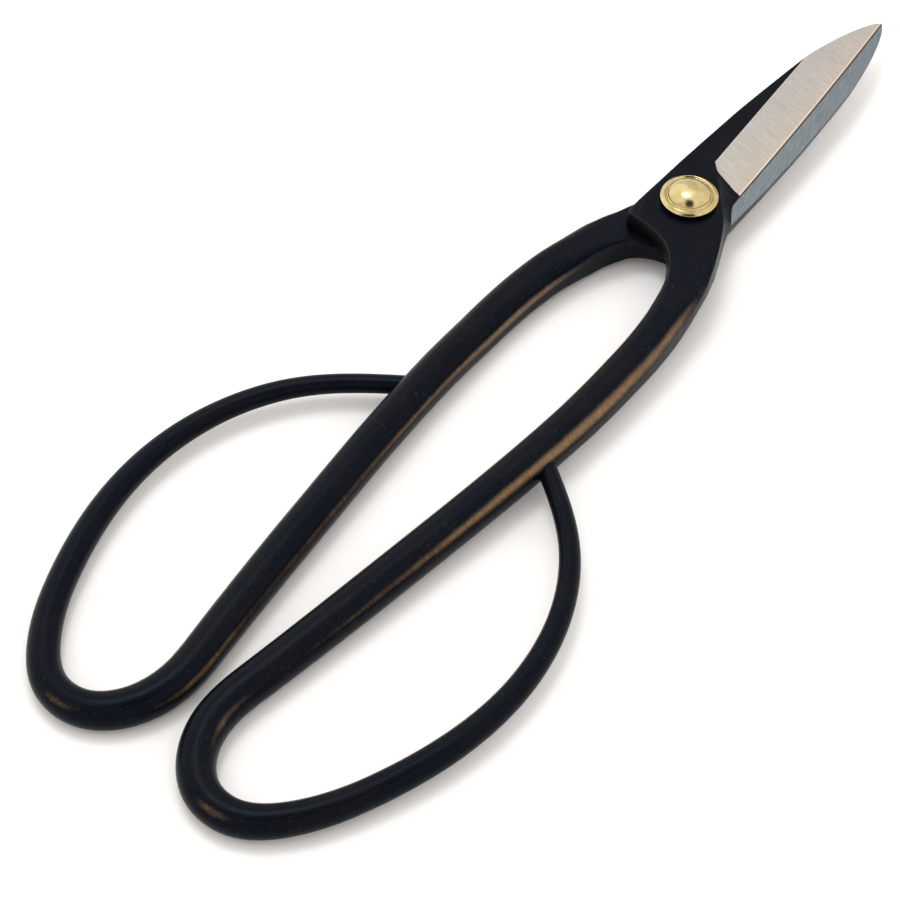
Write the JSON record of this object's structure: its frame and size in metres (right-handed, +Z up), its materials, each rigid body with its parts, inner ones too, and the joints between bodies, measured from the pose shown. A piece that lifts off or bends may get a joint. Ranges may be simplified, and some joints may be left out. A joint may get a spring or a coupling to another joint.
{
  "type": "floral snips",
  "caption": "Long-handled floral snips: slender pointed blades, long shanks and wide finger bows forged in one piece, held by a domed brass rivet.",
  "frame": {"origin": "on the pivot axis, at the rivet's flat lower end, on which the snips rest", "axes": "+X along the closed blades to the points, +Y to the left towards the lower half's handle, +Z up along the pivot"},
  "size_m": [0.2102, 0.0794, 0.0127],
  "materials": {
    "blackened_steel": "forged carbon steel, blackened all over, satin, with the blade bevels and inner faces ground bright",
    "brass": "polished pale brass, turned"
  },
  "bodies": {
    "lower": {"lower_half": "blackened_steel", "pivot_rivet": "brass", "top_washer": "brass", "bottom_washer": "brass"},
    "upper": {"upper_half": "blackened_steel"}
  },
  "joints": [
    {"name": "pivot", "type": "hinge", "parent": "lower", "child": "upper", "pos_m": [0, 0, 0.00608], "axis": [0, 0, 1], "range_deg": [0, 40]}
  ]
}
